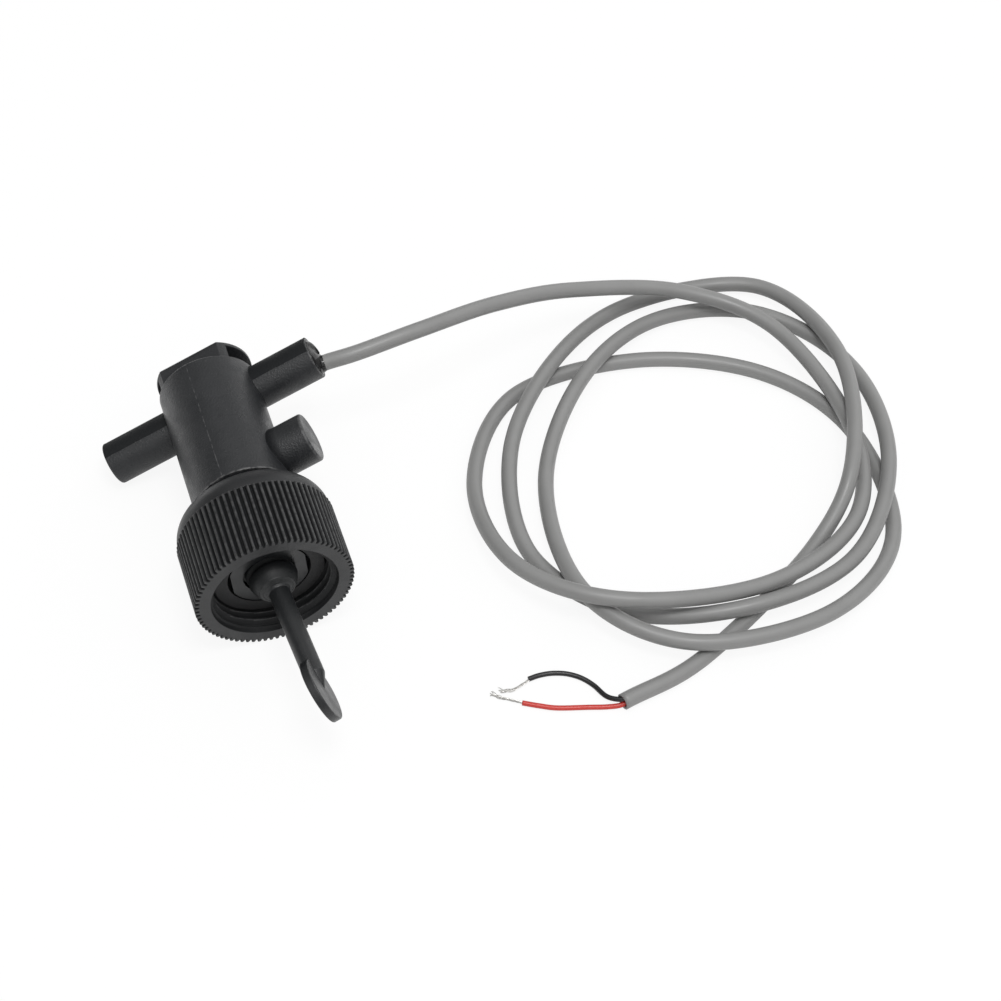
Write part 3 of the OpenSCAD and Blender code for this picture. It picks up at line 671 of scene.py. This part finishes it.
def make_nut():
    """Radius over a closed outline and the angle round the axis. Outside and under the rib ends
    it is the ribs' radius: a flat groove floor, sloping sides and a rounded crest, eighty times
    round. Above them it is the smooth shoulder's arc. In the bore, behind a plain mouth, it is
    the crest radius plus a V-shaped thread wave that climbs a pitch in each turn."""
    body_r = NUT_R - RIB_PROUD
    arc_z = GRIP_TOP + 0.6
    fall, rise = body_r - SHOULDER_R, NUT_TOP - arc_z
    arc_r = (fall**2 + rise**2) / (2 * fall)
    turn = np.linspace(0, math.asin(rise / arc_r), 14)
    band = np.array([
        (14, 0, 0), (15.6, 0, 0), (NUT_R - 0.12, 0, 1), (NUT_R - 0.03, 0.05, 1), (NUT_R, 0.16, 1),
        (NUT_R, 0.4, 1), (NUT_R, 8, 1), (NUT_R, GRIP_TOP - 0.5, 1), (NUT_R, GRIP_TOP - 0.22, 1),
        (NUT_R - 0.02, GRIP_TOP - 0.1, 1), (NUT_R - 0.09, GRIP_TOP - 0.02, 1),
        (NUT_R - 0.2, GRIP_TOP, 0.6), (body_r, GRIP_TOP + 0.02, 0), (body_r, GRIP_TOP + 0.12, 0),
    ])
    shoulder = np.stack([body_r - arc_r + arc_r * np.cos(turn), arc_z + arc_r * np.sin(turn)], -1)
    outline = np.vstack([
        band[:, :2], shoulder,
        rounded_outline([
            (12.0, NUT_TOP, 0), (COLLAR_R, NUT_TOP, 0.12), (COLLAR_R, LIP_TOP, 0.2),
            (LIP_R, LIP_TOP, 0.2), (LIP_R, THREAD_TOP, 0.2), (THREAD_CREST_R, THREAD_TOP, 0),
        ]),
        np.linspace((THREAD_CREST_R, THREAD_TOP - 0.1), (THREAD_CREST_R, THREAD_START), 58),
        np.linspace((12.4, 1.4), (MOUTH_R - 0.2, 1.0), 4),
        [(MOUTH_R - 0.1, 0.85), (MOUTH_R - 0.02, 0.1), (MOUTH_R, 0.04), (MOUTH_R + 0.07, 0),
         (MOUTH_R + 0.14, 0)],
    ])
    r, z = outline[:, :1], outline[:, 1:]
    ribbed = np.zeros(r.shape)
    ribbed[: len(band), 0] = band[:, 2]
    steps = np.array([0, 0.13, 0.19, 0.27, 0.38, 0.5, 0.62, 0.73, 0.81, 0.87])
    u = (np.arange(RIBS)[:, None] + steps).ravel()
    angle = u / RIBS * 2 * math.pi
    off = np.abs(u - np.round(u))
    side = np.clip((0.27 - off) / 0.14, 0, 1)
    groove = side * side * (3 - 2 * side)
    crest = RIB_ROUND * np.clip((off - 0.27) / 0.23, 0, 1) ** 0.6
    cut = r - ribbed * ((RIB_DEPTH - RIB_ROUND) * groove + RIB_ROUND - crest)
    phase = z / THREAD_PITCH - angle / (2 * math.pi)
    wave = np.clip((0.9 - np.abs(2 * (phase % 1) - 1)) / 0.8, 0, 1)
    fade = np.clip((THREAD_TOP - 0.3 - z) / 0.8, 0, 1)
    bore = (r < MOUTH_R - 0.05) & (z < THREAD_TOP - 0.05) & (z > 0.5)
    threaded = np.maximum(cut, THREAD_CREST_R + THREAD_DEPTH * wave * fade)
    ribs = ribbed > 0
    # Pale marks: the rib tips and the rib ends at the mouth are rubbed edges with a painted edge
    # highlight, and the rib crests and the thread's crests in the bore carry painted highlights
    tips = (off > 0.3) * (ribs & (z > GRIP_TOP - 0.15)) * 0.5
    mouth = (off > 0.3) * (ribs & (z < 0.1)) * 0.4
    crests = (off > 0.37) * (ribs & (z > 0.3)) * 0.4
    turns = bore * (wave < 0.1) * (z > THREAD_START) * (z < THREAD_TOP - 0.5) * 0.3
    # Painted shade in the rib grooves, and over the bore and mouth inside the nut, lighter on the
    # thread's crests
    shaded = np.clip((0.3 - off) / 0.1, 0, 1) * ribbed
    inside = (r < MOUTH_R + 0.02) & (z < THREAD_TOP - 0.05)
    add_piece(
        "ribbed_union_nut", lying(turned(np.where(bore, threaded, cut), z, angle)), NUT,
        closed=True, wear=np.maximum(tips + mouth, np.maximum(crests, turns)),
        dull=np.maximum(shaded, inside * (0.7 - 2 * turns)),
    )


make_nut()


# Housing

def make_barrel():
    """The barrel as one turned outline: rim, outside, socket, chamber and its roof, with a thin
    broken flash line down its front. The outer edge of the rim and the lip over the groove are
    paled as rubbed edges with a painted edge highlight."""
    angle = seam_angles(150, FRONT)
    outline = np.vstack([
        rounded_outline([
            (0.4, RIM_Z, 0), (9.6, RIM_Z, 0), (BARREL_R, RIM_Z, 0.3), (BARREL_R, 55, 0),
        ]),
        np.linspace((BARREL_R, 54.6), (BARREL_R, GROOVE_TOP + 0.6), 60),
        rounded_outline([
            (BARREL_R, GROOVE_TOP + 0.5, 0), (BARREL_R, GROOVE_TOP, 0.1),
            (GROOVE_R, GROOVE_TOP, 0.2), (GROOVE_R, GROOVE_LOW, 0.2), (BARREL_R, GROOVE_LOW, 0.2),
            (BARREL_R, 10, 0), (BARREL_R, FLANGE_TOP, 0.3), (SOCKET_R, FLANGE_TOP, 0.15),
            (SOCKET_R, SOCKET_TOP, 0.1), (CHAMBER_R, SOCKET_TOP, 0.1),
            (CHAMBER_R, CHAMBER_TOP, 0.4), (0.4, CHAMBER_TOP, 0),
        ]),
    ])
    r, z = outline[:, :1], outline[:, 1:]
    outside = (r > BARREL_R - 0.01) & (z > GROOVE_TOP)
    broken = dashes(z, 21) * outside * seam_share(angle, FRONT)
    lip = np.abs(z - GROOVE_TOP - 0.02) < 0.12
    # Rim edge and groove lip: rubbed edges with a painted edge highlight
    rim = (((z > RIM_Z - 0.2) | lip) & (r > BARREL_R - 0.2)) * 0.75
    add_piece(
        "barrel", lying(turned(r + 0.05 * broken, z, angle)), HOUSING,
        wear=np.maximum(0.7 * broken, rim),
    )


def make_cross_tube():
    """The cross tube: a closed rounded end, the open end's rim and its bore, with a broken parting
    line along the front, where the upper half stands back by a few hundredths. The upper half has
    painted shade, and the open end's rim a painted highlight."""
    seam = math.radians(198)
    angle = seam_angles(84, seam)
    outline = np.vstack([
        rounded_outline([
            (TUBE_LEFT, 0.3, 0), (TUBE_LEFT, TUBE_R, 0.5), (TUBE_LEFT + 2, TUBE_R, 0),
        ]),
        np.linspace((TUBE_LEFT + 2.4, TUBE_R), (TUBE_RIGHT - 1.4, TUBE_R), 60),
        rounded_outline([
            (TUBE_RIGHT - 1, TUBE_R, 0), (TUBE_RIGHT, TUBE_R, 0.25), (TUBE_RIGHT, TUBE_BORE_R, 0.2),
            (POTTING_START, TUBE_BORE_R, 0.2), (POTTING_START, 0.3, 0),
        ]),
    ])
    x, r = outline[:, :1], outline[:, 1:]
    skin = r > TUBE_R - 0.01
    outside = skin & (x > TUBE_LEFT + 0.6) & (x < TUBE_RIGHT - 0.3)
    broken = dashes(x, 22, 0.75) * outside * seam_share(angle, seam)
    over_seam = np.clip((seam - angle) / math.radians(1), 0, 1)
    set_back = 0.05 * np.clip((angle - 0.7) / 0.7, 0, 1) * over_seam * skin
    # A painted highlight on the open end's rim
    end = ((x > TUBE_RIGHT - 0.25) & (r > TUBE_BORE_R + 0.4)) * 0.5
    full_r = r + 0.04 * broken - set_back
    # Painted shade over the upper half of the skin, from the parting line round to the back, which
    # also makes it rougher and less shiny
    add_piece(
        "cross_tube", lying(turned_along_x(x, full_r, angle, TUBE_BACK, TUBE_Z)), HOUSING,
        wear=np.maximum(0.35 * broken, end),
        dull=over_seam * (angle > math.radians(40)) * (r > TUBE_R - 0.3),
    )


def make_stub():
    """The blind stub as a turned outline with a rounded, rubbed outer edge."""
    outline = rounded_outline([
        (9.4, 0.3, 0), (9.4, STUB_R, 0), (12, STUB_R, 0), (15, STUB_R, 0), (STUB_END, STUB_R, 0.6),
        (STUB_END, 3, 0), (STUB_END, 0.3, 0),
    ])
    x, r = outline[:, :1], outline[:, 1:]
    add_piece(
        "blind_stub", lying(turned_along_x(x, r, full_turn(90), STUB_BACK, STUB_Z)), HOUSING,
        wear=((x > STUB_END - 0.5) & (r > STUB_R - 0.5)) * 0.35,
    )


def make_root(name, side, r, back, height, highest=math.inf):
    """The rounded inner corner where a tube meets the barrel: the arc of a ball rolled round in the
    corner, between its touching points on the barrel and on the tube. side is 1 or -1. The ball is
    made smaller where it would stand above highest. The whole corner carries painted shade, as in a
    crease."""
    u = full_turn(96)
    upward = np.maximum(np.sin(u), 0.05)
    ball = np.where(np.sin(u) > 0.05, (highest - height) / upward - r, ROOT_R)
    ball = np.clip(ball, 0.02, ROOT_R)
    y = back + (r + ball) * np.cos(u)
    z = height + (r + ball) * np.sin(u)
    x = np.sqrt((BARREL_R + ball) ** 2 - y**2)
    middle = np.stack([x, y, z], -1)
    share = BARREL_R / (BARREL_R + ball)
    on_barrel = np.stack([x * share, y * share, z], -1)
    on_tube = turned_along_x(x, r, u, back, height)
    a, b = on_barrel - middle, on_tube - middle
    whole = np.arccos(np.clip((a * b).sum(1) / ball**2, -1, 1))
    t = np.linspace(0, 1, 9)[:, None]
    left = np.sin((1 - t) * whole) / np.sin(whole)
    right = np.sin(t * whole) / np.sin(whole)
    arc = middle + left[..., None] * a + right[..., None] * b
    sunk_barrel = on_barrel * [0.96, 0.96, 1]
    sunk_tube = turned_along_x(x, r - 0.4, u, back, height)
    sunk = turned_along_x(x * 0.93, r - 0.5, u, back, height)
    loop = np.concatenate([sunk_barrel[None], arc, sunk_tube[None], sunk[None]])
    loop[..., 0] *= side
    # The whole corner is painted darker as shade in the crease
    add_piece(name, lying(loop), HOUSING, closed=True, dull=1.0)


def prism(plan, low, high, edge):
    """A flat plan run from low to high, its edges rounded by an inward offset along an arc."""
    turn = np.roll(plan, -1, 0) - np.roll(plan, 1, 0)
    outward = np.stack([turn[:, 1], -turn[:, 0]], -1)
    outward /= np.linalg.norm(outward, axis=1, keepdims=True)
    t = np.linspace(0, math.pi / 2, 5)
    leaving, coming = edge * (1 - np.sin(t)), edge * (1 - np.cos(t))
    inset = np.r_[edge * 1.5, leaving, 0, 0, coming, edge * 1.5]
    height = np.r_[
        low, low + coming, low + edge * 1.4, high - edge * 1.4, high - leaving, high,
    ]
    flat = plan[None] - inset[:, None, None] * outward[None]
    return np.concatenate([flat, np.broadcast_to(height[:, None, None], flat.shape[:2] + (1,))], -1)


def arc_corners(r, angles, side=1):
    """Corners without rounding along an arc, mirrored in X where side is -1."""
    return [(side * r * math.cos(a), r * math.sin(a), 0) for a in angles]


def segment(front, back, r):
    """Plan of the slice of a circle between two lines across it, run anticlockwise."""
    gap = 1.0 / r
    half_front = r * math.cos(math.asin(front / r))
    corners = [(-half_front, front, 0.3)]
    corners += [(x, front, 0) for x in half_front * np.linspace(-0.85, 0.85, 12)]
    corners += [(half_front, front, 0.3)]
    first, last = (math.asin(np.clip(v / r, -1, 1)) for v in (front, back))
    if back < r:
        right = np.linspace(first + gap, last - gap, 22)
        half_back = r * math.cos(last)
        corners += arc_corners(r, right)
        corners += [(half_back, back, 0.1), (-half_back, back, 0.1)]
        corners += arc_corners(r, right[::-1], side=-1)
    else:
        corners += arc_corners(r, np.linspace(first + gap, math.pi - first - gap, 60))
    return rounded_outline(corners, closed=True)


def make_bridge():
    """The bridge over the rim: a flat-fronted round plate on two legs along the cross tube. The
    plate's upper edge is a little rubbed."""
    slot_y = BRIDGE_FRONT - BRIDGE_LEG
    under = BRIDGE_TOP - BRIDGE_PLATE
    foot, head = RIM_Z - 0.3, under + 0.3
    for name, front, back, r, low, high, edge in (
        ("bridge_plate", -BRIDGE_FRONT, BRIDGE_R, BRIDGE_R, under, BRIDGE_TOP, 0.18),
        ("bridge_front_leg", -BRIDGE_FRONT, -slot_y, BRIDGE_R - 0.02, foot, head, 0.06),
        ("bridge_back_leg", slot_y, BRIDGE_R, BRIDGE_R, foot, head, 0.06),
    ):
        points = prism(segment(front, back, r), low, high, edge) + [BRIDGE_X, 0, 0]
        rubbed = np.zeros((len(points), 1))
        if name == "bridge_plate":
            rubbed[-6:-3] = 0.3
        add_piece(name, lying(points), HOUSING, wear=rubbed)


make_barrel()
make_cross_tube()
make_stub()
make_root("left_tube_root", -1, TUBE_R, TUBE_BACK, TUBE_Z, highest=RIM_Z - 0.05)
make_root("right_tube_root", 1, TUBE_R, TUBE_BACK, TUBE_Z, highest=RIM_Z - 0.05)
make_root("stub_root", 1, STUB_R, STUB_BACK, STUB_Z)
make_bridge()


# Potting

def make_potting():
    """The resin: a plug with an uneven dome, its height over the tube's end a round hump with a
    few slow waves round it, and a thin collar that climbs the lead and dies out on it."""
    angle = full_turn(72)
    t = np.linspace(0, 1, 18)
    plug_r = TUBE_BORE_R - 0.03
    plug = np.array([
        (POTTING_START + 0.05, 0.3), (POTTING_START + 0.05, plug_r), (TUBE_RIGHT - 1, plug_r),
        (TUBE_RIGHT - 0.1, plug_r),
    ])
    sunk = np.zeros(len(plug))
    hump = TUBE_RIGHT - 0.02 + 1.3 * np.sin(t * math.pi / 2) ** 0.9
    spill = 0.22 + 0.45 * (0.5 - 0.5 * np.sin(angle + 0.4)) + 0.06 * np.sin(5 * angle + 1.0)
    r = np.r_[plug[:, 1], 0.3 + (TUBE_BORE_R - 0.33) * (1 - t**1.5)][:, None]
    r = r + np.r_[sunk, (1 - t) ** 2][:, None] * spill
    free = np.r_[sunk, np.clip(t * 2.5, 0, 1)][:, None]
    x = np.r_[plug[:, 0], hump][:, None]
    x = x + free * (0.15 * np.sin(3 * angle + 0.7) + 0.1 * np.sin(5 * angle + 2.0) - 0.12)
    add_piece("potting_resin", lying(turned_along_x(x, r, angle, TUBE_BACK, TUBE_Z)), POTTING)
    s = np.linspace(2.6, 5.0, 18)
    distance = distances(cable_path)
    line = np.stack([np.interp(s, distance, cable_path[:, k]) for k in range(3)], -1)
    rise = (s - s[0]) / (s[-1] - s[0])
    radius = CABLE_D / 2 - 0.06 + 1.2 * (1 - rise) ** 2.2 + 0.09 * np.sin(math.pi * rise)
    tube("resin_collar", line, radius, 40, POTTING)


make_potting()


# Pivot carrier

def make_carrier():
    """Radius over a closed outline and the angle round the axis. Outside it is the spigot, the
    flange and the sleeve, with two flats on the spigot. Inside it is the smallest of the ball's
    socket, a straight wall and the lines of the opening's four flat sides."""
    angle = full_turn(300)
    flats = SPIGOT_FLAT / np.maximum(np.abs(np.cos(angle - math.radians(FLATS_TURN))), 0.5)
    across, beside = np.abs(np.cos(angle)) + 1e-6, np.abs(np.sin(angle)) + 1e-6
    walls = np.minimum(OPENING_X / across, OPENING_Y / beside)
    outer = rounded_outline([
        (7, SEAT_Z, 0), (SPIGOT_R, SEAT_Z, 0.12), (SPIGOT_R, CARRIER_FACE, 0.1),
        (CARRIER_R, CARRIER_FACE, 0.1), (CARRIER_R, FLANGE_TOP, 0.1), (SLEEVE_R, FLANGE_TOP, 0.1),
        (SLEEVE_R, SLEEVE_TOP, 0.2), (8.1, SLEEVE_TOP, 0),
    ])
    z = np.r_[
        np.linspace(SLEEVE_TOP, SEAT_Z + 0.3, 26), SEAT_Z + np.array([0.2, 0.12, 0.05, 0.01, 0]),
    ]
    reach = np.sqrt((BALL_R + BALL_GAP) ** 2 - np.minimum(z - PIN_Z, 0) ** 2)
    eased = np.r_[np.zeros(26), 0, 0.01, 0.05, 0.12, 0.3]
    opening = np.minimum(np.minimum(reach, OPENING_R)[:, None], walls) + eased[:, None]
    spigot = outer[:, 1:] < FLATS_TOP
    body = outer[:, :1] - spigot * np.clip(SPIGOT_R - flats, 0, None)
    height = np.r_[outer[:, 1], z][:, None]
    # The opening's wall deeper than the seat's edge is painted darker as shade in the hole
    add_piece(
        "carrier_ring", lying(turned(np.vstack([body, opening]), height, angle)), CARRIER,
        closed=True, dull=np.r_[np.zeros(len(outer)), z > SEAT_Z + 0.1][:, None],
    )


make_carrier()


# Paddle arm

def arm_piece(name, points, **shares):
    """A piece of the arm from points that are drawn with the arm hanging straight."""
    add_piece(name, lying(hanging(points)), ARM, **shares)


def make_stem():
    """The ball face, dome, cuff, stem and point as one turned outline."""
    angle = seam_angles(84, FRONT)
    ball = np.linspace(math.asin(FACE_TOP_R / BALL_R), math.asin(FACE_LOW_R / BALL_R), 7)
    face = np.stack([BALL_R * np.sin(ball), PIN_Z - BALL_R * np.cos(ball)], -1)
    swell = np.linspace(math.asin(0.92), math.asin(3.86 / DOME_R), 16)
    swell[0] = math.asin(0.985)
    dome = np.stack([DOME_R * np.sin(swell), DOME_Z - DOME_R * np.cos(swell)], -1)
    slope = (STEM_R - DISC_T / 2) / (DISC_REACH - STEM_STRAIGHT)
    point = DISC_REACH + 1.3
    outline = np.vstack([
        [(0.3, 16.4), (2.9, 16.4), (2.9, 10), (3.4, 9.6), (3.4, 6.2), (5.2, 6.0)],
        [(FACE_TOP_R, 5.6)], face,
        [(FACE_LOW_R, 4.0), (4.75, 3.85), (5.0, 3.75), (5.12, 3.62)], dome,
        rounded_outline([
            (CUFF_R + 0.04, CUFF_END + 0.5, 0), (CUFF_R, CUFF_END + 0.4, 0.06),
            (3.3, CUFF_END + 0.12, 0.1), (3.2, CUFF_END + 0.22, 0.05),
            (2.8, CUFF_END - 0.02, 0.1), (2.55, CUFF_END - 0.12, 0.08),
            (STEM_R + 0.02, CUFF_END - 0.6, 0.2), (STEM_R, CUFF_END - 1.4, 0),
        ]),
        np.linspace((STEM_R, CUFF_END - 1.8), (STEM_R, -STEM_STRAIGHT + 0.4), 36),
        rounded_outline([
            (STEM_R, -STEM_STRAIGHT + 0.3, 0), (STEM_R, -STEM_STRAIGHT, 0.4),
            (STEM_R - slope * (point - STEM_STRAIGHT), -point, 0.2), (0.25, -point - 0.1, 0),
        ]),
    ])
    r, z = outline[:, :1], outline[:, 1:]
    stem = (r > STEM_R - 0.01) & (r < STEM_R + 0.01)
    broken = dashes(z, 23, 0.7) * stem * seam_share(angle, FRONT)
    # A painted highlight on the cuff's rings
    ring = ((z < 0.45) & (z > -0.7) & (r > 2.5)) * 0.12
    # Painted shade: full on the ball face in the gap under the carrier and on the dome's upper
    # part, part strength on the rest of the dome and the cuff, which also makes them rougher and
    # less shiny
    painted_stem_shade = np.where((z > 3.6) & (r > 3), 1, 0.45 * ((z > -0.7) & (r > 2.5)))
    arm_piece(
        "arm_stem", turned(r + 0.04 * broken, z, angle), wear=np.maximum(0.5 * broken, ring),
        dull=painted_stem_shade,
    )


def make_disc():
    """The disc, turned about its own axis, with a rubbed edge."""
    half = DISC_T / 2
    outline = rounded_outline([
        (-half, 0.3, 0), (-half, 3, 0), (-half, DISC_R, 0.28), (half, DISC_R, 0.28), (half, 3, 0),
        (half, 0.3, 0),
    ], steps=7)
    x, r = outline[:, :1], outline[:, 1:]
    arm_piece(
        "arm_disc", turned_along_x(x, r, full_turn(110), 0, -DISC_REACH),
        wear=((r > DISC_R - 0.3) & (np.abs(x) > half - 0.2)) * 0.3,
    )


def make_shank_and_neck():
    """The shank, a flat-sided prism in the carrier's opening, and the neck, a turned pocket."""
    side = math.asin(SHANK_HALF / SHANK_R)
    half = SHANK_R * math.cos(side)
    bow = np.linspace(-side + 0.2, side - 0.2, 9)
    plan = rounded_outline([
        (-half, -SHANK_HALF, 0.3), (half, -SHANK_HALF, 0.3), *arc_corners(SHANK_R, bow),
        (half, SHANK_HALF, 0.3), (-half, SHANK_HALF, 0.3),
        *arc_corners(SHANK_R, bow[::-1], side=-1),
    ], closed=True)
    arm_piece("arm_shank", prism(plan, SHANK_LOW, SHANK_TOP, 0.2))
    pocket = rounded_outline([
        (0.3, 15.5, 0), (3.0, 15.5, 0.1), (3.0, 27.9, 0.3), (3.95, 27.9, 0.3), (3.95, 38, 0.15),
        (2.85, 38, 0.1), (2.85, 29, 0.1), (0.3, 29, 0),
    ])
    arm_piece("arm_neck", turned(pocket[:, :1], pocket[:, 1:], full_turn(60)))


make_stem()
make_disc()
make_shank_and_neck()


# Floor, light and view

WHITE = (1, 1, 1, 1)
GLOW_TOWARDS = (0.18, -0.26, 0.949)
FLOOR_HALF, FLOOR_DROP = 1500.0, 0.03
WHITE_SEEN, WHITE_MIRRORED = 0.9, 0.35


def make_floor():
    """A wide flat sheet under the sensor. Most of it is plain white to the camera, and part of it
    to glossy and transmission rays, so that the soft shadow stays light."""
    corners = FLOOR_HALF * np.array([(-1, -1), (1, -1), (1, 1), (-1, 1)])
    points = np.c_[corners, np.full(4, FLOOR_Z - FLOOR_DROP)] * MM
    floor = make_mesh("floor", points, np.array([[0, 1, 2, 3]]))
    material = bpy.data.materials.new("floor_white")
    tree = empty_tree(material)
    ray = add_node(tree, "ShaderNodeLightPath").outputs
    mirrored = maths(tree, "MAXIMUM", ray["Is Glossy Ray"], ray["Is Transmission Ray"])
    some = maths(tree, "MULTIPLY", mirrored, WHITE_MIRRORED)
    share = maths(tree, "MULTIPLY_ADD", ray["Is Camera Ray"], WHITE_SEEN, some)
    paper = add_node(tree, "ShaderNodeBsdfDiffuse", {"Color": (0.9, 0.9, 0.9, 1)})
    white = add_node(tree, "ShaderNodeEmission", {"Color": WHITE, "Strength": 1.0})
    mixed = add_node(
        tree, "ShaderNodeMixShader", enumerate((share, paper.outputs[0], white.outputs[0])),
    )
    add_node(tree, "ShaderNodeOutputMaterial", {"Surface": mixed.outputs[0]})
    paint(floor, material)


def make_world():
    """One broad soft light overhead, a little to the front and right, over a dim surround. The
    camera sees it plain white."""
    world = bpy.data.worlds.new("studio")
    bpy.context.scene.world = world
    tree = empty_tree(world)
    at = add_node(tree, "ShaderNodeTexCoord").outputs["Generated"]
    overhead = add_node(
        tree, "ShaderNodeVectorMath", {0: at, 1: GLOW_TOWARDS}, operation="DOT_PRODUCT",
    )
    glow = carried(
        tree, overhead.outputs["Value"], 0.40, 0.80, 0.25, 1.15, interpolation_type="SMOOTHSTEP",
    )
    surround = add_node(tree, "ShaderNodeBackground", {"Color": WHITE, "Strength": glow})
    white = add_node(tree, "ShaderNodeBackground", {"Color": WHITE, "Strength": 1.0})
    seen = add_node(tree, "ShaderNodeLightPath").outputs["Is Camera Ray"]
    mixed = add_node(
        tree, "ShaderNodeMixShader", enumerate((seen, surround.outputs[0], white.outputs[0])),
    )
    add_node(tree, "ShaderNodeOutputWorld", {"Surface": mixed.outputs[0]})


def make_lamp(name, place, aim, size, power):
    """A square soft light at place, looking at aim, in row-frame metres."""
    data = bpy.data.lights.new(name, "AREA")
    data.shape, data.size, data.energy = "SQUARE", size, power
    made = in_scene(bpy.data.objects.new(name, data))
    made.location = place
    made.rotation_mode = "QUATERNION"
    made.rotation_quaternion = (Vector(aim) - Vector(place)).to_track_quat("-Z", "Y")


make_floor()
make_world()
make_lamp("overhead_softbox", (0.05, -0.2, 0.9), (0.03, 0, 0), size=0.28, power=3.2)
make_lamp("right_fill", (0.68, 0.55, 0.28), (0, 0.03, 0), size=0.5, power=0.9)
bpy.context.scene.view_settings.view_transform = "Standard"
